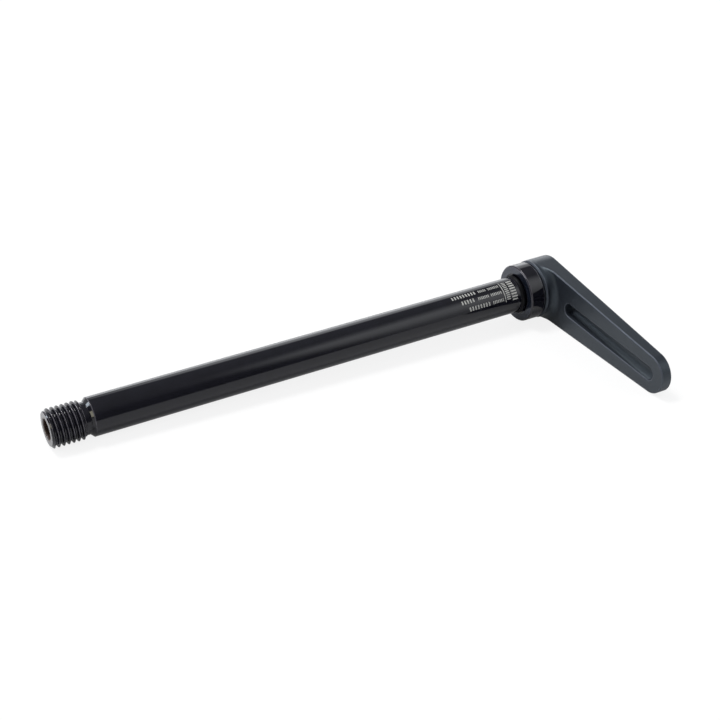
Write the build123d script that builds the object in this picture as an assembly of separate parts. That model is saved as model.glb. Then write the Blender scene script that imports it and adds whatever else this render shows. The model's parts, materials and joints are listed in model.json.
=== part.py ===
from build123d import *
import math
import os

# Bicycle thru axle with a lever that pulls out against a spring and turns to a new angle.
# The shaft lies along Y with its thread at the low end, the lever points along X, and Z is up.
# The origin is on the shaft's axis, on the collar face that seats against the frame.

os.makedirs("parts", exist_ok=True)

# Shaft and thread, in millimetres
length_under_collar = 162.5
shaft_diameter = 12.0
thread_diameter = 11.94
thread_length = 12.0
thread_end_chamfer = 0.8
thread_runout = 0.51
relief_diameter = 9.9
relief_width = 1.3
bore_diameter = 6.4
bore_mouth_chamfer = 0.25
bore_to_collar = 16.0
drill_point_angle = 118.0

# Sealing ring at the root of the shaft
ring_section = 1.5
ring_flat_count = 16
ring_groove_diameter = 9.8
ring_clearance = 0.03
ring_end_play = 0.12

# Collar that seats on the frame
collar_diameter = 19.0
collar_thickness = 5.3
collar_front_chamfer = 0.35
collar_back_chamfer = 0.25
seat_relief_diameter = 13.6
seat_relief_depth = 0.15

# Splined stub that carries the lever
spline_count = 24
spline_tip_diameter = 13.0
spline_root_diameter = 11.8
spline_tip_share = 0.30
spline_root_share = 0.56
spline_length = 2.1
spline_lead_chamfer = 0.3
spline_clearance = 0.08

# Lever hub
hub_overhang = 0.3
boss_setback = 0.05
boss_chamfer = 0.45
land_diameter = 17.4
land_height = 0.55
hub_depth = 9.45
web_thickness = 1.2
web_to_stub_gap = 0.5
chamber_diameter = 12.8
chamber_mouth_chamfer = 0.4
spline_relief_diameter = 13.8
spline_mouth_chamfer = 0.3

# Lever arm
arm_length = 58.6
tip_diameter = 12.8
arm_front_setback = 3.95
arm_tip_thickness = 3.85
boss_blend_radius = 2.4
front_edge_break = 0.35
back_edge_break = 0.4

# Trough milled along the front of the arm
trough_radius = 2.5
trough_tip_depth = 2.1
trough_start = 17.4
trough_end_inset = 7.0
trough_end_room = 0.04
trough_rim_break = 0.25
trough_rim_angle = 45.0
trough_rim_room = 0.1

# Retaining screw
shank_diameter = 5.0
shank_length = 12.0
shank_clearance = 0.05
tapped_hole_allowance = 2.0
shoulder_diameter = 7.0
shoulder_clearance = 0.1
head_diameter = 12.0
head_thickness = 2.0
head_chamfer = 0.3
shank_end_chamfer = 0.5
socket_sides = 6
socket_across_flats = 4.0
socket_depth = 2.6

# Thrust washer and return spring
washer_thickness = 0.4
washer_bore_clearance = 0.2
washer_rim_clearance = 0.3
spring_length = 3.5
spring_wire_width = 0.8
spring_wire_thickness = 0.5
spring_turns = 2.0
spring_large_diameter = 11.0
spring_small_diameter = 8.8

# Room by which a cutting shape stands proud of what it cuts
overcut = 1.0

# The hub stands a little proud of the collar all round
hub_diameter = collar_diameter + 2 * hub_overhang

# Places along the shaft's axis
thread_tip_y = -length_under_collar
shoulder_y = thread_tip_y + thread_length
ring_groove_width = ring_section + 2 * ring_end_play
stub_end_y = collar_thickness + spline_length
web_inner_y = stub_end_y + web_to_stub_gap
web_outer_y = web_inner_y + web_thickness
spring_start_y = web_outer_y + washer_thickness
head_seat_y = spring_start_y + spring_length
boss_front_y = collar_thickness + land_height
arm_front_y = collar_thickness + arm_front_setback
hub_back_y = collar_thickness + hub_depth
boss_radius = hub_diameter / 2 - boss_setback

# The arm's sides are tangent to hub and tip, and the lever lies on its lower side
side_lean = math.asin((hub_diameter - tip_diameter) / 2 / arm_length)
lever_droop = math.degrees(side_lean)
arm_reach = arm_length + tip_diameter
back_slope = (hub_back_y - arm_front_y - arm_tip_thickness) / arm_length


def back_y(along):
    """Height of the lever's leaning back face at a distance along the arm."""
    return hub_back_y - back_slope * along


blank_back_y = back_y(-hub_diameter)


def drill_point(diameter):
    return diameter / 2 / math.tan(math.radians(drill_point_angle / 2))


def turned(points):
    """Solid of revolution about the shaft's axis, from (radius, y) corners."""
    return revolve(make_face(Polyline(points, close=True)), axis=Axis.Y)


def prism(outline, low_y, high_y):
    """Prism along the shaft's axis from an outline drawn in X and Z."""
    return extrude(Plane.XZ.offset(-low_y) * outline, amount=low_y - high_y)


def spline_outline(clearance):
    """Closed toothed outline, grown by a clearance for the lever's bore."""
    pitch = 2 * math.pi / spline_count
    corners = (
        (spline_root_diameter, -spline_root_share),
        (spline_tip_diameter, -spline_tip_share),
        (spline_tip_diameter, spline_tip_share),
        (spline_root_diameter, spline_root_share),
    )
    points = []
    for tooth in range(spline_count):
        for diameter, share in corners:
            radius = diameter / 2 + clearance
            side = math.copysign(clearance / radius, share)
            angle = (tooth + share / 2) * pitch + side
            points.append((radius * math.cos(angle), radius * math.sin(angle)))
    return make_face(Polyline(points, close=True))


def make_axle():
    tip_radius = thread_diameter / 2
    relief_radius = relief_diameter / 2
    shaft_radius = shaft_diameter / 2
    groove_radius = ring_groove_diameter / 2
    collar_radius = collar_diameter / 2
    stub_radius = spline_root_diameter / 2
    runout_y = shoulder_y - relief_width
    outside = turned([
        (0, thread_tip_y),
        (tip_radius - thread_end_chamfer, thread_tip_y),
        (tip_radius, thread_tip_y + thread_end_chamfer),
        (tip_radius, runout_y - thread_runout),
        (relief_radius, runout_y),
        (relief_radius, shoulder_y),
        (shaft_radius, shoulder_y + shaft_radius - relief_radius),
        (shaft_radius, -ring_groove_width),
        (groove_radius, -ring_groove_width),
        (groove_radius, seat_relief_depth),
        (seat_relief_diameter / 2, seat_relief_depth),
        (seat_relief_diameter / 2, 0),
        (collar_radius - collar_front_chamfer, 0),
        (collar_radius, collar_front_chamfer),
        (collar_radius, collar_thickness - collar_back_chamfer),
        (collar_radius - collar_back_chamfer, collar_thickness),
        (stub_radius, collar_thickness),
        (stub_radius, stub_end_y),
        (0, stub_end_y),
    ])
    teeth = prism(spline_outline(0), collar_thickness, stub_end_y)
    lead = turned([
        (spline_tip_diameter / 2 - spline_lead_chamfer, stub_end_y),
        (spline_tip_diameter / 2 + overcut, stub_end_y),
        (spline_tip_diameter / 2 + overcut, stub_end_y - spline_lead_chamfer - overcut),
    ])
    bore_radius = bore_diameter / 2
    bore_end_y = -bore_to_collar
    bore = turned([
        (0, thread_tip_y),
        (bore_radius + bore_mouth_chamfer, thread_tip_y),
        (bore_radius, thread_tip_y + bore_mouth_chamfer),
        (bore_radius, bore_end_y),
        (0, bore_end_y + drill_point(bore_diameter)),
    ])
    tapped_radius = shank_diameter / 2 + shank_clearance
    tapped_end_y = stub_end_y - shank_length - tapped_hole_allowance
    tapped_hole = turned([
        (0, stub_end_y),
        (tapped_radius, stub_end_y),
        (tapped_radius, tapped_end_y),
        (0, tapped_end_y - drill_point(2 * tapped_radius)),
    ])
    return outside + Rot(Y=lever_droop) * (teeth - lead) - bore - tapped_hole


def make_o_ring():
    """Ring with a round section, drawn with many small flats."""
    inner_radius = ring_groove_diameter / 2 + ring_clearance
    section_radius = ring_section / 2
    section = RegularPolygon(section_radius, ring_flat_count)
    return revolve(Pos(inner_radius + section_radius, -ring_groove_width / 2) * section, axis=Axis.Y)


def lever_outline():
    hub_radius = hub_diameter / 2
    tip_radius = tip_diameter / 2
    across, up = math.sin(side_lean), math.cos(side_lean)
    hub_top = (hub_radius * across, hub_radius * up)
    hub_bottom = (hub_top[0], -hub_top[1])
    tip_top = (arm_length + tip_radius * across, tip_radius * up)
    tip_bottom = (tip_top[0], -tip_top[1])
    return make_face([
        ThreePointArc(hub_bottom, (-hub_radius, 0), hub_top),
        Line(hub_top, tip_top),
        ThreePointArc(tip_top, (arm_length + tip_radius, 0), tip_bottom),
        Line(tip_bottom, hub_bottom),
    ])


def front_cut():
    """What is milled away in front of the arm, with a blend up to the round boss."""
    blend_foot = (boss_radius + boss_blend_radius, arm_front_y)
    blend_head = (boss_radius, arm_front_y - boss_blend_radius)
    inset = boss_blend_radius * (1 - math.sqrt(0.5))
    blend_middle = (boss_radius + inset, arm_front_y - inset)
    front = collar_thickness - overcut
    profile = make_face([
        Line((boss_radius, front), blend_head),
        ThreePointArc(blend_head, blend_middle, blend_foot),
        Line(blend_foot, (arm_reach, arm_front_y)),
        Line((arm_reach, arm_front_y), (arm_reach, front)),
        Line((arm_reach, front), (boss_radius, front)),
    ])
    return revolve(profile, axis=Axis.Y)


def back_cut():
    """Wedge behind the leaning back face, which thins the arm from the hub to the tip."""
    corners = [
        (-hub_diameter, back_y(-hub_diameter)),
        (arm_reach, back_y(arm_reach)),
        (arm_reach, blank_back_y + overcut),
        (-hub_diameter, blank_back_y + overcut),
    ]
    return extrude(make_face(Polyline(corners, close=True)), amount=hub_diameter, both=True)


def trough_cut():
    """Round-bottomed trough that follows the leaning back, with upright round ends and a broken rim."""
    end = arm_length + tip_diameter / 2 - trough_end_inset
    run = end - trough_start
    tip_axis_y = arm_front_y + trough_tip_depth - trough_radius
    left, right = -trough_radius, trough_radius
    section = make_face([
        ThreePointArc((left, 0), (0, trough_radius), (right, 0)),
        Polyline((right, 0), (right, -hub_depth), (left, -hub_depth), (left, 0)),
    ])
    along = Plane((end, tip_axis_y, 0), x_dir=(0, 0, -1), z_dir=(1, -back_slope, 0))
    bottom = extrude(along * section, amount=2 * run, both=True)
    half_width = math.sqrt(trough_radius ** 2 - (arm_front_y + trough_rim_break - tip_axis_y) ** 2)
    middle = Pos(trough_start + run / 2)
    plan = middle * SlotCenterToCenter(run, 2 * (half_width + trough_end_room))
    upright = prism(plan, arm_front_y - overcut, hub_back_y)
    rim_depth = trough_rim_break + trough_rim_room
    rim_plan = middle * SlotCenterToCenter(run, 2 * (half_width + rim_depth))
    front = Plane((0, arm_front_y - trough_rim_room, 0), x_dir=(1, 0, 0), z_dir=(0, 1, 0))
    rim = extrude(front * rim_plan, amount=rim_depth, taper=trough_rim_angle)
    return (upright & bottom) + rim


def hub_bores():
    """Spring chamber, web hole and spline relief, bored from both sides."""
    chamber_radius = chamber_diameter / 2
    web_hole_radius = shoulder_diameter / 2 + shoulder_clearance
    relief_radius = spline_relief_diameter / 2
    mouth_radius = spline_tip_diameter / 2 + spline_clearance + spline_mouth_chamfer
    chamber = turned([
        (0, web_outer_y),
        (chamber_radius, web_outer_y),
        (chamber_radius, hub_back_y - chamber_mouth_chamfer),
        (chamber_radius + chamber_mouth_chamfer, hub_back_y),
        (chamber_radius + chamber_mouth_chamfer, blank_back_y),
        (0, blank_back_y),
    ])
    web_hole = turned([
        (0, web_inner_y),
        (web_hole_radius, web_inner_y),
        (web_hole_radius, web_outer_y),
        (0, web_outer_y),
    ])
    relief = turned([
        (0, stub_end_y),
        (relief_radius, stub_end_y),
        (relief_radius, web_inner_y),
        (0, web_inner_y),
    ])
    mouth = turned([
        (0, collar_thickness),
        (mouth_radius, collar_thickness),
        (mouth_radius - spline_mouth_chamfer, collar_thickness + spline_mouth_chamfer),
        (0, collar_thickness + spline_mouth_chamfer),
    ])
    toothed = prism(spline_outline(spline_clearance), collar_thickness, stub_end_y)
    return chamber + web_hole + relief + mouth + toothed


def boss_front():
    """Raised land, step and chamfer turned on the front of the boss."""
    land_radius = land_diameter / 2
    return turned([
        (land_radius, collar_thickness - overcut),
        (land_radius, boss_front_y),
        (boss_radius - boss_chamfer, boss_front_y),
        (boss_radius + overcut, boss_front_y + boss_chamfer + overcut),
        (boss_radius + overcut, collar_thickness - overcut),
    ])


def cut_and_break(body, cutter, width):
    """Cut a body and break the edges that the cut leaves."""
    cut = body - cutter
    return chamfer(new_edges(body, cutter, combined=cut), width)


def make_lever():
    blank = prism(lever_outline(), collar_thickness, blank_back_y)
    milled = cut_and_break(blank, front_cut(), front_edge_break)
    thinned = cut_and_break(milled, back_cut(), back_edge_break)
    return Rot(Y=lever_droop) * (thinned - trough_cut() - boss_front() - hub_bores())


def make_washer():
    hole_radius = shoulder_diameter / 2 + washer_bore_clearance
    rim_radius = chamber_diameter / 2 - washer_rim_clearance
    return turned([
        (hole_radius, web_outer_y),
        (rim_radius, web_outer_y),
        (rim_radius, spring_start_y),
        (hole_radius, spring_start_y),
    ])


def make_spring():
    """Conical coil of flat wire with its ends ground flat."""
    large_radius = spring_large_diameter / 2
    small_radius = spring_small_diameter / 2
    cone_angle = math.degrees(math.atan2(small_radius - large_radius, spring_length))
    pitch = spring_length / spring_turns
    path = Helix(pitch, spring_length, large_radius, cone_angle=cone_angle)
    across = Plane(origin=path @ 0, x_dir=(1, 0, 0), z_dir=path % 0)
    section = across * Rectangle(spring_wire_width, spring_wire_thickness)
    coil = sweep(section, path=path, is_frenet=True)
    upright = Pos(0, spring_start_y) * Rot(X=-90) * coil
    middle_y = spring_start_y + spring_length / 2
    room = Pos(0, middle_y) * Box(chamber_diameter, spring_length, chamber_diameter)
    return upright & room


def make_screw():
    shank_radius = shank_diameter / 2
    shoulder_radius = shoulder_diameter / 2
    head_radius = head_diameter / 2
    shank_end_y = stub_end_y - shank_length
    head_top_y = head_seat_y + head_thickness
    body = turned([
        (0, shank_end_y),
        (shank_radius - shank_end_chamfer, shank_end_y),
        (shank_radius, shank_end_y + shank_end_chamfer),
        (shank_radius, stub_end_y),
        (shoulder_radius, stub_end_y),
        (shoulder_radius, head_seat_y),
        (head_radius, head_seat_y),
        (head_radius, head_top_y - head_chamfer),
        (head_radius - head_chamfer, head_top_y),
        (0, head_top_y),
    ])
    hexagon = RegularPolygon(socket_across_flats / 2, socket_sides, major_radius=False)
    socket = prism(hexagon, head_top_y - socket_depth, head_top_y + overcut)
    return body - socket


pieces = {
    "axle": make_axle(),
    "o_ring": make_o_ring(),
    "lever": make_lever(),
    "thrust_washer": make_washer(),
    "return_spring": make_spring(),
    "retaining_screw": make_screw(),
}
for name, piece in pieces.items():
    export_step(piece, f"parts/{name}.step")
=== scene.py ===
import json
import math

import bmesh
import bpy
import numpy as np
from mathutils import Matrix, Quaternion, Vector
from mathutils.geometry import delaunay_2d_cdt


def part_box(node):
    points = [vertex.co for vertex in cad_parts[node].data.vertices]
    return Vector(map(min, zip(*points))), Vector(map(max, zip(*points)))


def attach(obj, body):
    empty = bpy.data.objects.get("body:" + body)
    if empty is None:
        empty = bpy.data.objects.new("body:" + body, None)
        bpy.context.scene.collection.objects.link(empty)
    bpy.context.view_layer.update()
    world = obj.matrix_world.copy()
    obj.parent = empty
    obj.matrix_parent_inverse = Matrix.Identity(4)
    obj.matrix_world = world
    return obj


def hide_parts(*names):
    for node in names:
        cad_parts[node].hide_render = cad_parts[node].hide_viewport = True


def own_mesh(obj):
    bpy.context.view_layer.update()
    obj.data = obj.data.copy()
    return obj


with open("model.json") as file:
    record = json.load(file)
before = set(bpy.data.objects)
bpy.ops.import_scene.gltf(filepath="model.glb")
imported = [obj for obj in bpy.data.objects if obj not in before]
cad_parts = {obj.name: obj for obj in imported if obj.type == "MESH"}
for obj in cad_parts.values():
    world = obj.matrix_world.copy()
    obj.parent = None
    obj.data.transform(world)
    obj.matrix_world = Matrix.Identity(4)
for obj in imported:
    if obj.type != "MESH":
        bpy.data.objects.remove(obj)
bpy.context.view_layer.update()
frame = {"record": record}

# Units: sizes below are in millimetres, as on the solids
MM = 0.001
TURN = 2 * math.pi
QUARTER = math.pi / 2
mounts = {mount["name"]: mount for mount in frame["record"]["mounts"]}

# Shaft, thread and bore
shaft_radius = mounts["shaft"]["dims"]["r_mm"]
thread_radius = mounts["thread"]["dims"]["r_mm"]
thread_tip_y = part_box("axle")[0].y / MM
thread_pitch = 1.5
thread_crest_flat = thread_pitch / 8
thread_flank_slope = math.sqrt(3)
thread_depth = 0.78
thread_crest_round = 0.12
thread_root_round = 0.2
thread_first_crest = 1.57
thread_end_chamfer = 0.8
thread_runout = 0.51
threaded_length = 10.7
length_to_shoulder = 12.0
relief_radius = 4.95
relief_start_y = thread_tip_y + threaded_length
shoulder_y = thread_tip_y + length_to_shoulder
bore_radius = 3.2
bore_mouth_chamfer = 0.25
bore_end_y = -16.0
drill_half_angle = math.radians(59)
tapped_radius = 2.55
tapped_end_y = -6.6

# Sealing ring and its groove
ring_section = 1.5
ring_middle_radius = 5.68
ring_middle_y = -0.87
groove_radius = 4.9
groove_start_y = -1.74

# Collar and splined stub
collar_radius = 9.5
collar_back_y = 5.3
collar_front_chamfer = 0.35
collar_back_chamfer = 0.25
seat_relief_radius = 6.8
seat_relief_depth = 0.15
stub_end_y = 7.4
tooth_count = 24
tooth_tip_radius = 6.5
tooth_root_radius = 5.9
tooth_lead = 0.3
tooth_clearance = 0.08
tooth_tip_share = 0.15
tooth_root_share = 0.28

# Lever hub
hub_radius = 9.8
boss_radius = 9.75
boss_chamfer = 0.45
boss_front_y = 5.85
boss_edge_round = 0.14
land_radius = 8.7
mouth_chamfer = 0.3
spline_relief_radius = 6.9
web_inner_y = 7.9
web_outer_y = 9.1
web_hole_radius = 3.6
chamber_radius = 6.4
chamber_chamfer = 0.4
hub_back_y = 14.75

# Lever arm and its trough
arm_length = 58.6
tip_radius = 6.4
arm_front_y = 9.25
tip_thickness = 3.85
blend_radius = 2.4
front_edge_round = 0.35
back_edge_round = 0.4
trough_radius = 2.5
trough_tip_axis_y = 8.85
trough_start = 17.4
trough_end = 58.0
trough_half_width = 2.66
trough_rim_round = 0.25
trough_wall_turn = math.radians(84)
trough_corner = 0.25
side_lean = math.asin((hub_radius - tip_radius) / arm_length)
back_slope = (hub_back_y - arm_front_y - tip_thickness) / arm_length

# Retaining screw, washer and spring
shank_radius = 2.5
shank_end_y = -4.6
shank_end_chamfer = 0.5
shoulder_radius = 3.5
head_radius = 6.0
head_seat_y = 13.0
head_top_y = 15.0
head_chamfer = 0.3
socket_flat = 2.0
socket_floor_y = 12.4
socket_point = 0.6
socket_sides = 6
socket_rim_share = 1.4
washer_hole_radius = 3.7
washer_rim_radius = 6.1
washer_back_y = 9.5
spring_large_radius = 5.5
spring_small_radius = 4.4
spring_wire_width = 0.8
spring_wire_thickness = 0.5
spring_turns = 2

# How finely round things are divided
columns_per_tooth = 12
columns = tooth_count * columns_per_tooth
facet_share = math.cos(math.pi / columns)
edge_round = 0.06
edge_steps = 3
side_parts = 3
support = 0.15
inset_share = 0.9
mouth_steps = 4
merge_distance = 1e-4 * MM
sharp_angle = math.radians(50)

# Rows across half a turn of the thread, closer together at its crest and root
thread_row_places = (0, 0.06, 0.1, 0.14, 0.2, 0.28, 0.36, 0.44, 0.52, 0.58, 0.64, 0.7)
thread_spare_turns = 3

# Painted highlight along edges, stronger where they face up, from one bulge to another, as one over a
# radius in millimetres
highlight_attribute = "painted_edge_highlight"
highlight_from = 1.2
highlight_full = 2.5
highlight_upright_share = 0.5
highlight_least_share = 0.15
highlight_patch_scale = 1200.0
highlight_uneven_share = 0.6

# Marks on the shaft: rows and spans in degrees from straight up towards the lever
mark_lift = 0.006
mark_sink = 0.03
mark_step = 3.0
mark_rows = (16.0, 40.0, 65.0)
mark_start_y = -8.6
fine_lengths = (8.3, 9.9, 4.6)
fine_height = 9.5
fine_pitch = 0.62
fine_width = 0.32
fine_in_group = 8
bold_lengths = (9.5, 5.4, 8.5)
bold_height = 12.5
bold_pitch = 1.05
bold_width = 0.5
mark_gap = 0.7
rule_y = -7.9
rule_width = 0.28
rule_span = (5.0, 75.0)
band_y = (-3.1, -5.75)
band_height = (2.1, 1.4)
band_pitch = (9.0, 6.5)
band_width = (5.2, 3.4)
band_start = 7.0
band_ends = (80.0, 74.0)

# Table: where the hub rests on it, its reach and its paper
hub_contact_inset = 0.49
floor_reach = 15000.0
floor_low = (0.93, 0.93, 0.93)
floor_high = (0.96, 0.96, 0.96)
floor_fibre_scale = 1500.0
floor_roughness = 0.9
floor_white_share = 0.85
floor_mirrored_share = 0.2

# Surroundings: each part fades in between two shares across, back or up, or two radii in degrees
room_tint = (0.95, 0.97, 1.0, 1.0)
room_rise = (0.35, 1.0)
room_strength = (0.10, 0.45)
window_direction = (-0.77, 0.40, 0.49)
window_radii = (4.0, 14.0)
window_back = (0.63, 0.52)
window_strength = 1.8
wall_lean = 0.12
wall_lean_height = 0.4
wall_back = (0.34, 0.44)
wall_top = (0.95, 0.7)
wall_side = (0.0, 0.3)
wall_rise = (0.1, 0.65)
wall_strength = (0.8, 1.9)
glow_direction = (-0.75, -0.40, 0.40)
glow_radii = (12.0, 42.0)
glow_strength = 0.6
backdrop_back = (0.05, 0.2)
backdrop_top = (0.4, 0.25)
backdrop_side = (-0.5, -0.75)
backdrop_strength = 2.4
backdrop_mirrored_share = 0.15

# Camera, in metres
camera_eye = Vector((0.3375, -0.2435, 0.2221))
camera_forward = Vector((-0.7536, 0.4104, -0.5135)).normalized()
camera_roll = math.radians(0.92)
camera_lens = 70.0
camera_sensor = 36.0
camera_near, camera_far = 0.01, 40.0


def mark_edges(mesh):
    """Store how sharply the surface bulges at each point, for the painted highlight on edges, stronger on
    edges that face up.
    """
    count = len(mesh.vertices)
    places, normals = np.empty(3 * count), np.empty(3 * count)
    mesh.vertices.foreach_get("co", places)
    mesh.vertex_normals.foreach_get("vector", normals)
    ends = np.empty(2 * len(mesh.edges), dtype=int)
    mesh.edges.foreach_get("vertices", ends)
    first, second = ends.reshape(-1, 2).T
    apart = (places.reshape(-1, 3)[second] - places.reshape(-1, 3)[first]) / MM
    turned = normals.reshape(-1, 3)[second] - normals.reshape(-1, 3)[first]
    bulge = np.zeros(count)
    bend = (turned * apart).sum(axis=1) / (apart ** 2).sum(axis=1)
    np.maximum.at(bulge, first, bend)
    np.maximum.at(bulge, second, bend)
    share = np.clip((bulge - highlight_from) / (highlight_full - highlight_from), 0, 1)
    # Painted highlight: edges that face up get more of it, as if lit from above
    share *= np.clip(highlight_upright_share + normals.reshape(-1, 3)[:, 2], highlight_least_share, 1)
    mesh.attributes.new(highlight_attribute, "FLOAT", "POINT").data.foreach_set("value", share)


class Skin:
    """Points and faces of one piece in millimetres, gathered ring by ring."""

    def __init__(self):
        self.points = []
        self.faces = []
        self.slots = []

    def ring(self, points):
        first = len(self.points)
        self.points.extend(points)
        return list(range(first, len(self.points)))

    def face(self, corners, slot=0):
        self.faces.append(corners)
        self.slots.append(slot)

    def bridge(self, low, high, slot=0):
        """Quads between two closed rings of equal count."""
        count = len(low)
        for k in range(count):
            after = (k + 1) % count
            self.face((low[k], low[after], high[after], high[k]), slot)

    def stack(self, rings, slot=0):
        for low, high in zip(rings, rings[1:]):
            self.bridge(low, high, slot)

    def close(self, ring, apex, slot=0):
        """Fan that closes a ring at one point."""
        top = self.ring([apex])[0]
        for k in range(len(ring)):
            self.face((ring[k], ring[(k + 1) % len(ring)], top), slot)

    def build(self, name, materials, turn=0.0):
        mesh = bpy.data.meshes.new(name)
        place = Matrix.Rotation(turn, 3, "Y") * MM
        mesh.from_pydata([place @ Vector(p) for p in self.points], [], self.faces)
        for polygon, slot in zip(mesh.polygons, self.slots):
            polygon.material_index = slot
        made = bmesh.new()
        made.from_mesh(mesh)
        bmesh.ops.remove_doubles(made, verts=made.verts, dist=merge_distance)
        bmesh.ops.dissolve_degenerate(made, edges=made.edges, dist=merge_distance)
        bmesh.ops.recalc_face_normals(made, faces=made.faces)
        for face in made.faces:
            face.smooth = True
        made.to_mesh(mesh)
        made.free()
        for material in materials:
            mesh.materials.append(material)
        mesh.set_sharp_from_angle(angle=sharp_angle)
        mark_edges(mesh)
        piece = bpy.data.objects.new(name, mesh)
        bpy.context.scene.collection.objects.link(piece)
        weighted = piece.modifiers.new("even_shading", "WEIGHTED_NORMAL")
        weighted.keep_sharp = True
        return piece


def around(radius, y, angle):
    """Point on a circle round the shaft's axis, measured from straight up towards the lever."""
    return (radius * math.sin(angle), y, radius * math.cos(angle))


def plain_angles(count=columns):
    return [TURN * k / count for k in range(count)]


def lathe_rings(skin, corners, angles):
    return [skin.ring([around(radius, y, angle) for angle in angles]) for radius, y in corners]


def softened(corners, radius=edge_round):
    """Profile with each inner corner rounded, and a support point beside each rounding."""
    smooth = [corners[0]]
    for before, corner, after in zip(corners, corners[1:], corners[2:]):
        here = Vector(corner)
        back, ahead = Vector(before) - here, Vector(after) - here
        cut = min(radius, back.length / side_parts, ahead.length / side_parts)
        start, stop = here + back.normalized() * cut, here + ahead.normalized() * cut
        if back.length > side_parts * support:
            smooth.append(tuple(here + back.normalized() * (cut + support)))
        for step in range(edge_steps + 1):
            share = step / edge_steps
            middle = start.lerp(here, share).lerp(here.lerp(stop, share), share)
            smooth.append(tuple(middle))
        if ahead.length > side_parts * support:
            smooth.append(tuple(here + ahead.normalized() * (cut + support)))
    smooth.append(corners[-1])
    return smooth


def tooth_shares():
    """Places of the columns across one tooth, as shares of the tooth pitch."""
    tip, root, middle = tooth_tip_share, tooth_root_share, 0.5
    half = [0, tip / 2, tip, (tip + root) / 2, root, (root + middle) / 2]
    return half + [middle] + [1 - share for share in reversed(half[1:])]


def tooth_columns():
    shares = [tooth + share for tooth in range(tooth_count) for share in tooth_shares()]
    return [TURN * share / tooth_count for share in shares]


def tooth_radius(angle, grow):
    """Radius of the toothed outline at an angle, grown by a clearance."""
    share = angle * tooth_count / TURN
    offset = abs(share - round(share))
    fall = (offset - tooth_tip_share) / (tooth_root_share - tooth_tip_share)
    fall = min(max(fall, 0), 1)
    return grow + tooth_tip_radius + fall * (tooth_root_radius - tooth_tip_radius)


def smooth_min(a, b, reach):
    near = max(reach - abs(a - b), 0) / reach
    return min(a, b) - near * near * reach / 4


def smooth_max(a, b, reach):
    return -smooth_min(-a, -b, reach)


def drill_point(radius):
    return radius / math.tan(drill_half_angle)


# Axle

def thread_profile(offset):
    """Radius of the thread at a distance along the axis from the middle of a crest."""
    flank = thread_radius - (offset - thread_crest_flat / 2) * thread_flank_slope
    crest = smooth_min(flank, thread_radius, thread_crest_round)
    root = smooth_max(flank, thread_radius - thread_depth, thread_root_round)
    return crest if flank > thread_radius - thread_depth / 2 else root


def thread_surface(angle, y):
    """Radius of the thread, cut back by its end chamfer and by its run-out."""
    turns = (y - thread_tip_y - thread_first_crest) / thread_pitch - angle / TURN
    offset = abs(turns - round(turns)) * thread_pitch
    chamfer = thread_radius - thread_end_chamfer + (y - thread_tip_y)
    steepness = (thread_radius - relief_radius) / thread_runout
    runout = relief_radius + (relief_start_y - y) * steepness
    return min(thread_profile(offset), chamfer, runout)


def thread_rows():
    """Places of the thread's rows along the axis, the same in every turn, and their count in a turn."""
    mirrored = [thread_pitch - place for place in reversed(thread_row_places[1:])]
    in_turn = [*thread_row_places, thread_pitch / 2, *mirrored]
    turns = math.ceil((relief_start_y - thread_tip_y) / thread_pitch) + thread_spare_turns
    start = thread_tip_y + thread_first_crest - thread_spare_turns * thread_pitch
    rows = [start + turn * thread_pitch + place for turn in range(turns) for place in in_turn]
    return rows, len(in_turn)


def add_thread(skin, angles):
    """Helical thread whose rows climb with the angle, held between the tip and the relief."""
    rows, rows_per_turn = thread_rows()
    grid = []
    for angle in angles:
        column = []
        for row in rows:
            y = min(max(row + thread_pitch * angle / TURN, thread_tip_y), relief_start_y)
            column.append(around(thread_surface(angle, y), y, angle))
        grid.append(skin.ring(column))
    last = len(rows) - 1
    for k, column in enumerate(grid):
        wraps = k + 1 == len(grid)
        neighbour = grid[0] if wraps else grid[k + 1]
        shift = rows_per_turn if wraps else 0
        for j in range(last):
            low, high = min(j + shift, last), min(j + 1 + shift, last)
            skin.face((column[j], neighbour[low], neighbour[high], column[j + 1]))


def add_bore(skin, angles):
    """Bore with its drill point, and the flat tip up to the thread's first edge."""
    bore = softened([
        (bore_radius, bore_end_y),
        (bore_radius, thread_tip_y + bore_mouth_chamfer),
        (bore_radius + bore_mouth_chamfer, thread_tip_y),
        (thread_radius - thread_end_chamfer - support, thread_tip_y),
    ])
    inside = lathe_rings(skin, bore, angles)
    skin.stack(inside[:-1], slot=1)
    tip_edge = skin.ring([around(thread_surface(a, thread_tip_y), thread_tip_y, a) for a in angles])
    skin.stack(inside[-2:] + [tip_edge])
    skin.close(inside[0], (0, bore_end_y + drill_point(bore_radius), 0), slot=1)


def axle_outside():
    """Profile from the thread's relief to the foot of the splines."""
    return softened([
        (relief_radius, relief_start_y),
        (relief_radius, shoulder_y),
        (shaft_radius, shoulder_y + shaft_radius - relief_radius),
        (shaft_radius, groove_start_y),
        (groove_radius, groove_start_y),
        (groove_radius, seat_relief_depth),
        (seat_relief_radius, seat_relief_depth),
        (seat_relief_radius, 0),
        (collar_radius - collar_front_chamfer, 0),
        (collar_radius, collar_front_chamfer),
        (collar_radius, collar_back_y - collar_back_chamfer),
        (collar_radius - collar_back_chamfer, collar_back_y),
        (tooth_tip_radius + support, collar_back_y),
    ])


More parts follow.
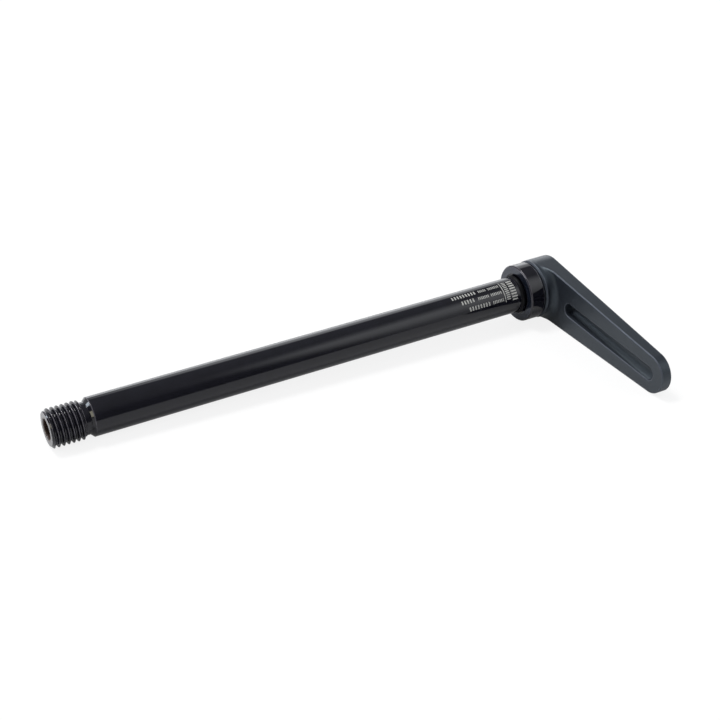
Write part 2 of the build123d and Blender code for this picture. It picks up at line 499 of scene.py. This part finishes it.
def make_axle():
    skin = Skin()
    even, toothed = plain_angles(), tooth_columns()
    add_bore(skin, even)
    add_thread(skin, even)
    rings = lathe_rings(skin, axle_outside(), even)
    lead_radius = tooth_tip_radius - tooth_lead
    for y in (collar_back_y, stub_end_y - tooth_lead, stub_end_y):
        limit = lead_radius + stub_end_y - y
        rings.append(skin.ring([around(min(tooth_radius(a, 0), limit), y, a) for a in toothed]))
    hole = [(tapped_radius, stub_end_y), (tapped_radius, tapped_end_y)]
    rings += lathe_rings(skin, hole, even)
    for low, high in zip(rings, rings[1:]):
        levels = [skin.points[ring[0]][1] for ring in (low, high)]
        faced = max(map(abs, levels)) < edge_round / 2
        skin.bridge(low, high, slot=2 if faced else 0)
    skin.close(rings[-1], (0, tapped_end_y - drill_point(tapped_radius), 0))
    finishes = [gloss_anodised(), brown_bore(), faced_anodised()]
    return skin.build("turned_axle", finishes, turn=side_lean)


def make_ring():
    skin = Skin()
    section_columns = 32
    section = ring_section / 2
    rings = []
    for k in range(section_columns):
        lean = TURN * k / section_columns
        radius = ring_middle_radius + section * math.cos(lean)
        y = ring_middle_y + section * math.sin(lean)
        rings.append(skin.ring([around(radius, y, angle) for angle in plain_angles()]))
    skin.stack(rings + rings[:1])
    return skin.build("rubber_ring", [rubber()])


# Lever

def outline_point(x, z, normal_angle, inset):
    return (x - inset * math.cos(normal_angle), z - inset * math.sin(normal_angle))


def outline_samples():
    """Points on the lever's outline with the angle of their outward normal, going round once."""
    side_angle = QUARTER - side_lean
    samples = []
    hub_steps, tip_steps = 150, 96
    near_steps, far_steps = 44, 60
    near_share = 0.2
    for k in range(hub_steps):
        angle = side_angle + (TURN - 2 * side_angle) * k / hub_steps
        samples.append((hub_radius * math.cos(angle), hub_radius * math.sin(angle), angle))
    shares = [near_share * k / near_steps for k in range(near_steps)]
    shares += [near_share + (1 - near_share) * k / far_steps for k in range(far_steps)]
    ends = []
    for sign in (-1, 1):
        angle = sign * side_angle
        hub = Vector((math.cos(angle), math.sin(angle))) * hub_radius
        tip = Vector((arm_length, 0)) + Vector((math.cos(angle), math.sin(angle))) * tip_radius
        ends.append((hub, tip, angle))
    hub, tip, angle = ends[0]
    samples += [(*hub.lerp(tip, share), angle) for share in shares]
    for k in range(tip_steps):
        angle = -side_angle + 2 * side_angle * k / tip_steps
        samples.append((arm_length + tip_radius * math.cos(angle), tip_radius * math.sin(angle), angle))
    hub, tip, angle = ends[1]
    homeward = [0] + [1 - share for share in reversed(shares[1:])]
    samples += [(*hub.lerp(tip, 1 - share), angle) for share in homeward]
    return samples


def inside_outline(x, z):
    """Distance from the lever's outline to a point inside it."""
    lean_x = x * math.cos(side_lean) - abs(z) * math.sin(side_lean)
    if lean_x < 0:
        return hub_radius - math.hypot(x, z)
    if lean_x > arm_length * math.cos(side_lean):
        return tip_radius - math.hypot(x - arm_length, z)
    return hub_radius - x * math.sin(side_lean) - abs(z) * math.cos(side_lean)


def edge_width(x, z):
    """Width of the rounding on the front edge, which fades out where the edge meets the boss."""
    return min(front_edge_round, (math.hypot(x, z) - boss_radius) / 2)


def rim_edge(turn):
    """Distance from the trough's axis and place along the shaft's axis, at an angle round the rim."""
    return (
        trough_half_width - trough_rim_round * math.sin(turn),
        arm_front_y + trough_rim_round * (1 - math.cos(turn)),
    )


def round_bottom(x, z):
    """Place along the shaft's axis of the trough's round bottom, which follows the leaning back."""
    return trough_tip_axis_y + back_slope * (trough_end - x) + math.sqrt(trough_radius ** 2 - z ** 2)


def front_height(x, z):
    """Place of the lever's front surface along the shaft's axis."""
    from_hub = math.hypot(x, z)
    if from_hub < boss_radius + blend_radius:
        across = boss_radius + blend_radius - from_hub
        rise = math.sqrt(max(blend_radius ** 2 - across ** 2, 0))
        return arm_front_y - blend_radius + rise
    along = min(max(x, trough_start), trough_end)
    from_axis = math.hypot(x - along, z)
    if from_axis >= trough_half_width:
        return arm_front_y
    rim_inner, rim_inner_y = rim_edge(trough_wall_turn)
    if from_axis > rim_inner:
        drop = math.sqrt(trough_rim_round ** 2 - (trough_half_width - from_axis) ** 2)
        return arm_front_y + trough_rim_round - drop
    inward = rim_inner - from_axis
    wall = rim_inner_y + inward * math.tan(trough_wall_turn)
    return smooth_min(round_bottom(x, z), wall, min(trough_corner, inward) + merge_distance)


def back_height(x):
    return hub_back_y - back_slope * x


def back_level(x, z):
    return back_height(x)


def back_width(x, z):
    return back_edge_round


def capsule(radius, side_steps=34, end_steps=24):
    """Closed loop at one distance from the trough's axis."""
    loop = []
    run = trough_end - trough_start
    for k in range(end_steps):
        angle = QUARTER + math.pi * k / end_steps
        loop.append((trough_start + radius * math.cos(angle), radius * math.sin(angle)))
    loop += [(trough_start + run * k / side_steps, -radius) for k in range(side_steps)]
    for k in range(end_steps):
        angle = -QUARTER + math.pi * k / end_steps
        loop.append((trough_end + radius * math.cos(angle), radius * math.sin(angle)))
    loop += [(trough_end - run * k / side_steps, radius) for k in range(side_steps)]
    return loop


def trough_loops():
    """Loops round the trough's rim, close together down the steep part and wider apart at the bottom."""
    rim_steps, wall_steps = 6, 20
    rim_inner, _ = rim_edge(trough_wall_turn)
    radii = [trough_half_width + support]
    radii += [rim_edge(trough_wall_turn * k / rim_steps)[0] for k in range(rim_steps)]
    radii += [rim_inner * (1 - (k / wall_steps) ** 2) for k in range(wall_steps)]
    return [capsule(radius) for radius in radii]


def blend_points():
    """Points on the concave blend between the boss and the arm."""
    steps, fan = 18, 180
    points = []
    for k in range(1, steps + 2):
        radius = boss_radius + blend_radius * (1 - math.cos(QUARTER * k / steps))
        if k > steps:
            radius = boss_radius + blend_radius + support
        for j in range(fan):
            angle = TURN * j / fan
            x, z = radius * math.cos(angle), radius * math.sin(angle)
            if inside_outline(x, z) > edge_width(x, z) + edge_round:
                points.append((x, z))
    return points


def laid_out(x, z):
    """Plan in which the blend lies flat, measured along its curve."""
    from_hub = math.hypot(x, z)
    across = min(max(from_hub - boss_radius, 0), blend_radius)
    turn = math.acos(1 - across / blend_radius)
    return Vector((x, z)) * ((from_hub - across + blend_radius * turn) / from_hub)


def as_seen(x, z):
    return Vector((x, z))


def filled(loops, points, keep, plan):
    """Triangles over closed loops and loose points on a plan, kept where their middle passes a test."""
    places = [p for loop in loops for p in loop] + points
    edges = []
    first = 0
    for loop in loops:
        edges += [(first + k, first + (k + 1) % len(loop)) for k in range(len(loop))]
        first += len(loop)
    inside_loops = 1
    nearest = 1e-6
    made = delaunay_2d_cdt([plan(*p) for p in places], edges, [], inside_loops, nearest)
    triangles, sources = made[2], made[3]
    corners = [places[source[0]] for source in sources]
    kept = []
    for triangle in triangles:
        x, z = (sum(corners[c][k] for c in triangle) / len(triangle) for k in (0, 1))
        if keep(x, z):
            kept.append(triangle)
    return corners, kept


def add_patch(skin, corners, triangles, height):
    placed = skin.ring([(x, height(x, z), z) for x, z in corners])
    for triangle in triangles:
        skin.face([placed[c] for c in triangle])


def edge_rings(skin, samples, width, level, way):
    """Rounded edge along the outline, from the side wall to the inset loop that bounds a face."""
    rings, inset_loop = [], []
    steps = 6
    for k in range(steps + 1):
        turn = QUARTER * k / steps
        points, flat = [], []
        for x, z, angle in samples:
            reach = width(x, z)
            px, pz = outline_point(x, z, angle, reach * (1 - math.cos(turn)))
            points.append((px, level(px, pz) + way * reach * (1 - math.sin(turn)), pz))
            flat.append((px, pz))
        rings.append(skin.ring(points))
        inset_loop = flat
    return rings, inset_loop


def beside(skin, ring, shift):
    """Copy of a ring, shifted along the shaft's axis."""
    return skin.ring([(x, y + shift, z) for x, y, z in [skin.points[corner] for corner in ring]])


def boss_loop():
    return [(boss_radius * math.sin(a), boss_radius * math.cos(a)) for a in plain_angles()]


def chamber_mouth(angle):
    """Radius and place of the edge where the chamber's chamfer meets the leaning back."""
    seat = hub_back_y - chamber_chamfer
    radius = chamber_radius + chamber_chamfer
    for _ in range(mouth_steps):
        radius = chamber_radius + back_height(radius * math.sin(angle)) - seat
        radius = min(radius, chamber_radius + chamber_chamfer)
    return radius, back_height(radius * math.sin(angle))


def add_hub(skin):
    """Boss, toothed bore, web and spring chamber, from the boss's foot to the chamber's mouth."""
    even = plain_angles()
    toothed = tooth_columns()
    mouth_radius = tooth_tip_radius + tooth_clearance
    boss = softened([
        (boss_radius, arm_front_y - blend_radius),
        (boss_radius, boss_front_y + boss_chamfer),
        (boss_radius - boss_chamfer, boss_front_y),
        (land_radius, boss_front_y),
        (land_radius, collar_back_y),
        (mouth_radius + mouth_chamfer, collar_back_y),
        (mouth_radius, collar_back_y + mouth_chamfer),
    ], boss_edge_round)
    rings = lathe_rings(skin, boss, even)
    for y in (collar_back_y + mouth_chamfer, stub_end_y):
        rings.append(skin.ring([around(tooth_radius(a, tooth_clearance), y, a) for a in toothed]))
    inner = [
        (spline_relief_radius, stub_end_y),
        (spline_relief_radius, web_inner_y),
        (web_hole_radius, web_inner_y),
        (web_hole_radius, web_outer_y),
        (chamber_radius, web_outer_y),
        (chamber_radius, hub_back_y - chamber_chamfer),
    ]
    rings += lathe_rings(skin, inner, even)
    mouths = [chamber_mouth(a) for a in even]
    rings.append(skin.ring([around(r, min(y, hub_back_y), a) for (r, y), a in zip(mouths, even)]))
    rings.append(skin.ring([around(r, y, a) for (r, y), a in zip(mouths, even)]))
    skin.stack(rings)
    return [(r * math.sin(a), r * math.cos(a)) for (r, _), a in zip(mouths, even)]


def on_front(x, z):
    off_boss = math.hypot(x, z) > boss_radius * facet_share
    return off_boss and inside_outline(x, z) > edge_width(x, z) * inset_share


def on_back(x, z):
    radius, _ = chamber_mouth(math.atan2(x, z))
    off_mouth = math.hypot(x, z) > radius * facet_share
    return off_mouth and inside_outline(x, z) > back_edge_round * inset_share


def front_points(samples):
    """Loose points of the front: the blend, a row beside the edge and the trough's axis."""
    beside_edge = []
    for x, z, angle in samples:
        px, pz = outline_point(x, z, angle, edge_width(x, z) + support)
        if math.hypot(px, pz) > boss_radius + blend_radius:
            beside_edge.append((px, pz))
    axis_steps = 34
    run = trough_end - trough_start
    axis = [(trough_start + run * k / axis_steps, 0) for k in range(axis_steps + 1)]
    return blend_points() + beside_edge + axis


def back_points(samples, mouth_loop):
    """Loose points of the back: a row beside the edge and two rings round the chamber's mouth."""
    points = [outline_point(x, z, angle, back_edge_round + support) for x, z, angle in samples]
    for ring in (1, 2):
        grow = 1 + ring * support / chamber_radius
        points += [(x * grow, z * grow) for x, z in mouth_loop]
    return points


def make_lever():
    skin = Skin()
    samples = outline_samples()
    mouth_loop = add_hub(skin)
    front_rings, front_loop = edge_rings(skin, samples, edge_width, front_height, 1)
    back_rings, back_loop = edge_rings(skin, samples, back_width, back_level, -1)
    skin.stack(front_rings)
    skin.stack(back_rings)
    wall_front = beside(skin, front_rings[0], support)
    wall_back = beside(skin, back_rings[0], -support)
    skin.stack([front_rings[0], wall_front, wall_back, back_rings[0]])
    front_loops = [boss_loop(), front_loop] + trough_loops()
    front = filled(front_loops, front_points(samples), on_front, laid_out)
    add_patch(skin, *front, front_height)
    back = filled([mouth_loop, back_loop], back_points(samples, mouth_loop), on_back, as_seen)
    add_patch(skin, *back, back_level)
    return skin.build("milled_lever", [satin_anodised()], turn=side_lean)


# Screw, washer and spring

def socket_radius(angle):
    """Radius of the screw's six-sided socket at an angle."""
    side = TURN / socket_sides
    return socket_flat / math.cos((angle + side / 2) % side - side / 2)


def make_screw():
    skin = Skin()
    angles = plain_angles(columns // 2)
    outside = softened([
        (shank_radius - shank_end_chamfer, shank_end_y),
        (shank_radius, shank_end_y + shank_end_chamfer),
        (shank_radius, stub_end_y),
        (shoulder_radius, stub_end_y),
        (shoulder_radius, head_seat_y),
        (head_radius, head_seat_y),
        (head_radius, head_top_y - head_chamfer),
        (head_radius - head_chamfer, head_top_y),
        (socket_flat * socket_rim_share, head_top_y),
    ])
    rings = lathe_rings(skin, outside, angles)
    skin.close(rings[0], (0, shank_end_y, 0))
    socket_edge = [
        (2 * edge_round, head_top_y),
        (edge_round / 2, head_top_y - edge_round / 2),
        (0, head_top_y - 2 * edge_round),
        (0, socket_floor_y),
    ]
    for grow, y in socket_edge:
        rings.append(skin.ring([around(socket_radius(a) + grow, y, a) for a in angles]))
    skin.stack(rings)
    skin.close(rings[-1], (0, socket_floor_y - socket_point, 0))
    return skin.build("black_screw", [black_steel()])


def make_washer():
    skin = Skin()
    corners = [
        (washer_hole_radius, web_outer_y),
        (washer_rim_radius, web_outer_y),
        (washer_rim_radius, washer_back_y),
        (washer_hole_radius, washer_back_y),
    ]
    loop = softened([corners[-1]] + corners + [corners[0]])[1:-1]
    rings = lathe_rings(skin, loop, plain_angles(columns // 2))
    skin.stack(rings + rings[:1])
    return skin.build("thrust_washer_steel", [spring_steel()])


def make_spring():
    """Conical coil of flat wire, its ends ground flat on the washer and under the screw's head."""
    skin = Skin()
    steps_per_turn = 96
    steps = spring_turns * steps_per_turn
    length = head_seat_y - washer_back_y
    half_width, half_thickness = spring_wire_width / 2, spring_wire_thickness / 2
    sections = []
    for k in range(steps + 1):
        share = k / steps
        angle = QUARTER + TURN * spring_turns * share
        radius = spring_large_radius + (spring_small_radius - spring_large_radius) * share
        y = washer_back_y + length * share
        section = []
        for across, along in ((-1, -1), (1, -1), (1, 1), (-1, 1)):
            place = min(max(y + along * half_thickness, washer_back_y), head_seat_y)
            section.append(around(radius + across * half_width, place, angle))
        sections.append(skin.ring(section))
    skin.stack(sections)
    skin.face(sections[0][::-1])
    skin.face(sections[-1])
    return skin.build("flat_wire_spring", [spring_steel()])


# Plain marks on the shaft

def add_mark(skin, y_low, y_high, angle_low, angle_high):
    """Thin curved plate that lies on the shaft."""
    steps = max(1, round((angle_high - angle_low) / math.radians(mark_step)))
    low, high = shaft_radius - mark_sink, shaft_radius + mark_lift
    rows = []
    for k in range(steps + 1):
        angle = angle_low + (angle_high - angle_low) * k / steps
        rows.append(skin.ring([
            around(low, y_low, angle),
            around(high, y_low, angle),
            around(high, y_high, angle),
            around(low, y_high, angle),
        ]))
    skin.stack(rows)
    skin.face(rows[0][::-1])
    skin.face(rows[-1])


def add_fine_ticks(skin, middle, length):
    """Short ticks along the shaft, in groups with a gap between them."""
    low, high = math.radians(middle - fine_height / 2), math.radians(middle + fine_height / 2)
    for tick in range(int(length / fine_pitch)):
        if tick % fine_in_group != fine_in_group - 1:
            y = mark_start_y - tick * fine_pitch
            add_mark(skin, y - fine_width, y, low, high)


def add_bold_ticks(skin, middle, start_y, length):
    """Longer and wider ticks along the shaft."""
    low, high = math.radians(middle - bold_height / 2), math.radians(middle + bold_height / 2)
    for tick in range(int(length / bold_pitch)):
        y = start_y - tick * bold_pitch
        add_mark(skin, y - bold_width, y, low, high)


def make_marks():
    """Three rows of fine and bold ticks, a thin rule across them and two short rows beside it."""
    skin = Skin()
    for middle, fine_length, bold_length in zip(mark_rows, fine_lengths, bold_lengths):
        add_fine_ticks(skin, middle, fine_length)
        add_bold_ticks(skin, middle, mark_start_y - fine_length - mark_gap, bold_length)
    add_mark(skin, rule_y, rule_y + rule_width, *[math.radians(a) for a in rule_span])
    for y, height, pitch, width, end in zip(band_y, band_height, band_pitch, band_width, band_ends):
        for k in range(int((end - band_start) / pitch)):
            low = math.radians(band_start + k * pitch)
            add_mark(skin, y - height, y, low, low + math.radians(width))
    return skin.build("size_ticks", [pale_mark()])


# Materials

class Graph:
    """Nodes of one finish or of the surroundings, with short ways to add and join them."""

    def __init__(self, tree):
        self.tree = tree

    def add(self, kind):
        return self.tree.nodes.new(kind)

    def join(self, value, socket):
        """Feed a socket from another one, or set it to a plain number."""
        if isinstance(value, bpy.types.NodeSocket):
            self.tree.links.new(value, socket)
        else:
            socket.default_value = value

    def chain(self, operation, values):
        result = values[0]
        for value in values[1:]:
            node = self.add("ShaderNodeMath")
            node.operation = operation
            self.join(result, node.inputs[0])
            self.join(value, node.inputs[1])
            result = node.outputs["Value"]
        return result

    def product(self, *values):
        return self.chain("MULTIPLY", values)

    def total(self, *values):
        return self.chain("ADD", values)

    def larger(self, *values):
        return self.chain("MAXIMUM", values)

    def noise(self, scale, detail=2.0, stretch=(1, 1, 1)):
        """Noise in the object's own coordinates; the scale is in features for each metre."""
        place = self.add("ShaderNodeTexCoord")
        mapping = self.add("ShaderNodeMapping")
        mapping.inputs["Scale"].default_value = stretch
        texture = self.add("ShaderNodeTexNoise")
        texture.inputs["Scale"].default_value = scale
        texture.inputs["Detail"].default_value = detail
        self.join(place.outputs["Object"], mapping.inputs["Vector"])
        self.join(mapping.outputs["Vector"], texture.inputs["Vector"])
        return texture.outputs["Fac"]

    def ramp(self, factor, low, high, start=0.3, stop=0.7):
        """Colour that goes from one to another over the middle of a factor's range."""
        blend = self.add("ShaderNodeValToRGB")
        first, last = blend.color_ramp.elements
        first.position, last.position = start, stop
        first.color, last.color = (*low, 1), (*high, 1)
        self.join(factor, blend.inputs["Fac"])
        return blend.outputs["Color"]

    def span(self, factor, low, high):
        """Map a factor from 0..1 to a range of plain numbers."""
        mapped = self.add("ShaderNodeMapRange")
        mapped.inputs["To Min"].default_value = low
        mapped.inputs["To Max"].default_value = high
        self.join(factor, mapped.inputs["Value"])
        return mapped.outputs["Result"]

    def step(self, value, low, high):
        """Smooth step from 0 at one value to 1 at another."""
        smooth = self.add("ShaderNodeMapRange")
        smooth.interpolation_type = "SMOOTHSTEP"
        smooth.inputs["From Min"].default_value = low
        smooth.inputs["From Max"].default_value = high
        self.join(value, smooth.inputs["Value"])
        return smooth.outputs["Result"]

    def bump(self, height, distance, strength):
        relief = self.add("ShaderNodeBump")
        relief.inputs["Strength"].default_value = strength
        relief.inputs["Distance"].default_value = distance
        self.join(height, relief.inputs["Height"])
        return relief.outputs["Normal"]

    def disc(self, place, direction, inner, outer):
        """Soft round patch of the surroundings, with its inner and outer radius in degrees."""
        near = self.add("ShaderNodeVectorMath")
        near.operation = "DOT_PRODUCT"
        self.join(place, near.inputs[0])
        near.inputs[1].default_value = Vector(direction).normalized()
        edge, full = math.cos(math.radians(outer)), math.cos(math.radians(inner))
        return self.step(near.outputs["Value"], edge, full)

    def edge_paint(self, colour, pale, strength):
        """Painted highlight: colour that turns paler along edges, unevenly."""
        highlight_share = self.add("ShaderNodeAttribute")
        highlight_share.attribute_name = highlight_attribute
        uneven = self.span(self.noise(highlight_patch_scale), strength * highlight_uneven_share, strength)
        blend = self.add("ShaderNodeMix")
        blend.data_type = "RGBA"
        self.join(self.product(highlight_share.outputs["Fac"], uneven), blend.inputs["Factor"])
        self.join(colour, blend.inputs["A"])
        blend.inputs["B"].default_value = (*pale, 1)
        return blend.outputs["Result"]


def new_material(name):
    material = bpy.data.materials.new(name)
    material.use_nodes = True
    return material, Graph(material.node_tree), material.node_tree.nodes["Principled BSDF"]


def surface(
    name, low, high, pale, roughness, grain, relief, metallic=0.0, ior=1.5, patch=300.0, tint=(1, 1, 1),
):
    """Finish with mottled colour and roughness, a fine relief and a painted highlight that makes edges
    paler.
    """
    material, graph, shader = new_material(name)
    shader.inputs["Metallic"].default_value = metallic
    shader.inputs["IOR"].default_value = ior
    shader.inputs["Specular Tint"].default_value = (*tint, 1)
    mottle = graph.noise(patch, detail=4.0)
    colour = graph.ramp(mottle, low, high)
    # Painted highlight along edges, mixed into the base colour
    graph.join(graph.edge_paint(colour, *pale), shader.inputs["Base Color"])
    graph.join(graph.span(mottle, *roughness), shader.inputs["Roughness"])
    scale, stretch = grain
    fine = graph.noise(scale, stretch=stretch)
    graph.join(graph.bump(fine, *relief), shader.inputs["Normal"])
    return material


def gloss_anodised():
    """Black anodising on a turned surface, with the faint rings that turning leaves."""
    return surface(
        "gloss_anodised",
        low=(0.004, 0.004, 0.007), high=(0.006, 0.006, 0.010), pale=((0.16, 0.15, 0.17), 0.6),
        roughness=(0.07, 0.12), grain=(900.0, (0.02, 12.0, 0.02)), relief=(0.000002, 0.2), ior=1.38,
    )


def faced_anodised():
    """Black anodising on the collar's faced front, a little duller and bluer than the shaft."""
    return surface(
        "faced_anodised",
        low=(0.006, 0.008, 0.014), high=(0.010, 0.013, 0.022), pale=((0.16, 0.15, 0.17), 0.6),
        roughness=(0.13, 0.19), grain=(5000.0, (1, 1, 1)), relief=(0.000004, 0.3), patch=900.0,
        ior=1.55, tint=(0.78, 0.84, 1.0),
    )


def brown_bore():
    """Drilled wall inside the shaft, a little brown."""
    return surface(
        "drilled_bore",
        low=(0.030, 0.018, 0.014), high=(0.060, 0.034, 0.024), pale=((0.10, 0.08, 0.07), 0.5),
        roughness=(0.25, 0.4), grain=(900.0, (0.05, 6.0, 0.05)), relief=(0.00002, 0.5),
    )


def satin_anodised():
    """Black anodising on a blasted surface, with a fine even grain."""
    return surface(
        "satin_anodised",
        low=(0.010, 0.0125, 0.017), high=(0.015, 0.0175, 0.024), pale=((0.15, 0.16, 0.20), 0.42),
        roughness=(0.38, 0.46), grain=(9000.0, (1, 1, 1)), relief=(0.00002, 0.15), patch=1800.0,
        tint=(0.76, 0.90, 1.0),
    )


def rubber():
    """Dull black rubber."""
    return surface(
        "ring_rubber",
        low=(0.004, 0.004, 0.005), high=(0.007, 0.007, 0.008), pale=((0.02, 0.02, 0.02), 0.3),
        roughness=(0.42, 0.55), grain=(6000.0, (1, 1, 1)), relief=(0.00001, 0.4), ior=1.2, patch=900.0,
    )


def spring_steel():
    """Bare steel of the washer and the spring."""
    return surface(
        "spring_steel",
        low=(0.42, 0.41, 0.40), high=(0.52, 0.51, 0.50), pale=((0.60, 0.59, 0.58), 0.5), metallic=1.0,
        roughness=(0.25, 0.38), grain=(3000.0, (0.3, 4.0, 0.3)), relief=(0.00001, 0.4), patch=700.0,
    )


def black_steel():
    """Blackened steel of the screw."""
    return surface(
        "black_steel",
        low=(0.035, 0.034, 0.034), high=(0.060, 0.057, 0.055), pale=((0.16, 0.15, 0.15), 0.5), metallic=1.0,
        roughness=(0.30, 0.42), grain=(5000.0, (1, 1, 1)), relief=(0.00001, 0.4), patch=900.0,
    )


def pale_mark():
    """Pale grey of marks cut through the black by a beam."""
    return surface(
        "pale_mark",
        low=(0.30, 0.30, 0.28), high=(0.42, 0.42, 0.40), pale=((0.42, 0.42, 0.40), 0.3),
        roughness=(0.5, 0.65), grain=(9000.0, (1, 1, 1)), relief=(0.00001, 0.4), patch=2500.0,
    )


# Floor, light and camera

def make_floor():
    """Pale table that touches the hub and the threaded end of the lying part."""
    hub_contact_y = arm_front_y - blend_radius + hub_contact_inset
    hub_z, thread_z = -hub_radius, -thread_radius
    thread_y = thread_tip_y + thread_end_chamfer
    slope = (hub_z - thread_z) / (hub_contact_y - thread_y)
    corners = []
    for across, along in ((-1, -1), (1, -1), (1, 1), (-1, 1)):
        x, y = across * floor_reach, along * floor_reach
        corners.append((x * MM, y * MM, (hub_z + slope * (y - hub_contact_y)) * MM))
    mesh = bpy.data.meshes.new("floor")
    mesh.from_pydata(corners, [], [(0, 1, 2, 3)])
    floor = bpy.data.objects.new("floor", mesh)
    bpy.context.scene.collection.objects.link(floor)
    mesh.materials.append(floor_paper())


def floor_paper():
    """White paper: a share of its white is its own where it is looked at, the rest is lit."""
    material, graph, shader = new_material("floor_paper")
    shader.inputs["Roughness"].default_value = floor_roughness
    shader.inputs["Specular IOR Level"].default_value = 0.0
    fibre = graph.noise(floor_fibre_scale)
    graph.join(graph.ramp(fibre, floor_low, floor_high), shader.inputs["Base Color"])
    white = graph.add("ShaderNodeEmission")
    white.inputs["Strength"].default_value = 1.0
    paths = graph.add("ShaderNodeLightPath").outputs
    share = graph.larger(
        graph.product(paths["Is Camera Ray"], floor_white_share),
        graph.product(paths["Is Glossy Ray"], floor_mirrored_share),
        graph.product(paths["Is Transmission Ray"], floor_mirrored_share),
    )
    blend = graph.add("ShaderNodeMixShader")
    graph.join(share, blend.inputs["Fac"])
    graph.join(shader.outputs["BSDF"], blend.inputs[1])
    graph.join(white.outputs["Emission"], blend.inputs[2])
    graph.join(blend.outputs["Shader"], material.node_tree.nodes["Material Output"].inputs["Surface"])
    return material


def make_world():
    """Dim room, white to look at, with a bright window and backdrop on the left and a wall on the right."""
    world = bpy.data.worlds.new("studio")
    bpy.context.scene.world = world
    world.use_nodes = True
    graph = Graph(world.node_tree)
    background = world.node_tree.nodes["Background"]
    place = graph.add("ShaderNodeTexCoord").outputs["Generated"]
    split = graph.add("ShaderNodeSeparateXYZ")
    graph.join(place, split.inputs["Vector"])
    across, back, up = split.outputs

    room = graph.span(graph.step(up, *room_rise), *room_strength)
    window = graph.disc(place, window_direction, *window_radii)
    window = graph.product(window, graph.step(back, *window_back), window_strength)
    leaning = graph.total(back, graph.product(graph.total(up, -wall_lean_height), wall_lean))
    wall = graph.product(
        graph.step(leaning, *wall_back),
        graph.step(up, *wall_top),
        graph.step(across, *wall_side),
        graph.span(graph.step(up, *wall_rise), *wall_strength),
    )
    glow = graph.product(graph.disc(place, glow_direction, *glow_radii), glow_strength)
    backdrop = graph.product(
        graph.step(back, *backdrop_back),
        graph.step(up, *backdrop_top),
        graph.step(across, *backdrop_side),
        backdrop_strength,
    )
    light = graph.total(room, glow, window, wall, backdrop)
    paths = graph.add("ShaderNodeLightPath").outputs
    mirrored = graph.product(paths["Is Glossy Ray"], backdrop_mirrored_share)
    shown = graph.larger(light, paths["Is Camera Ray"], paths["Is Transmission Ray"], mirrored)
    graph.join(shown, background.inputs["Strength"])
    background.inputs["Color"].default_value = room_tint


def add_softbox(name, place, aim, size, power, tint=(1, 1, 1), spin=0.0):
    """Flat lamp that faces a point, turned about its own axis by an angle in degrees."""
    lamp = bpy.data.lights.new(name, "AREA")
    lamp.shape = "RECTANGLE"
    lamp.size, lamp.size_y = size
    lamp.energy = power
    lamp.color = tint
    holder = bpy.data.objects.new(name, lamp)
    holder.location = place
    facing = (Vector(aim) - Vector(place)).to_track_quat("-Z", "Y")
    holder.rotation_euler = (facing @ Quaternion((0, 0, 1), math.radians(spin))).to_euler()
    bpy.context.scene.collection.objects.link(holder)


def make_camera():
    data = bpy.data.cameras.new("camera")
    data.lens = camera_lens
    data.sensor_width = camera_sensor
    data.clip_start, data.clip_end = camera_near, camera_far
    camera = bpy.data.objects.new("camera", data)
    level = camera_forward.to_track_quat("-Z", "Y").to_matrix()
    rolled = level @ Matrix.Rotation(-camera_roll, 3, "Z")
    camera.matrix_world = Matrix.Translation(camera_eye) @ rolled.to_4x4()
    bpy.context.scene.collection.objects.link(camera)
    bpy.context.scene.camera = camera


def dress(piece, body, node):
    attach(piece, body)
    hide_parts(node)
    return piece


dress(make_axle(), "axle_body", "axle")
dress(make_ring(), "axle_body", "o_ring")
dress(make_screw(), "axle_body", "retaining_screw")
dress(make_washer(), "washer_body", "thrust_washer")
dress(make_lever(), "lever_body", "lever")
spring = dress(make_spring(), "axle_body", "return_spring")
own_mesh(spring)
marks = make_marks()
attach(marks, "axle_body")

make_floor()
make_world()
add_softbox(
    "key_light", place=(-0.48, -0.35, 1.5), aim=(0, -0.05, 0), size=(0.5, 0.4), power=18.0,
)
add_softbox(
    "front_lamp", place=(-0.38, -1.086, 1.02), aim=(0, 0, 0), size=(0.85, 0.1), power=3.2,
    tint=(0.94, 0.93, 1.0),
)
add_softbox(
    "window", place=(-0.88, -1.28, 0.6), aim=(0, -0.15, 0), size=(0.45, 0.1), power=1.8,
    tint=(0.80, 0.90, 1.0), spin=12.0,
)
add_softbox(
    "warm_lamp", place=(0.155, -1.65, 0.358), aim=(0, -0.15, 0), size=(0.6, 0.1), power=1.3,
    tint=(1.0, 0.95, 0.75), spin=-45.0,
)
make_camera()
bpy.context.scene.view_settings.view_transform = "Standard"
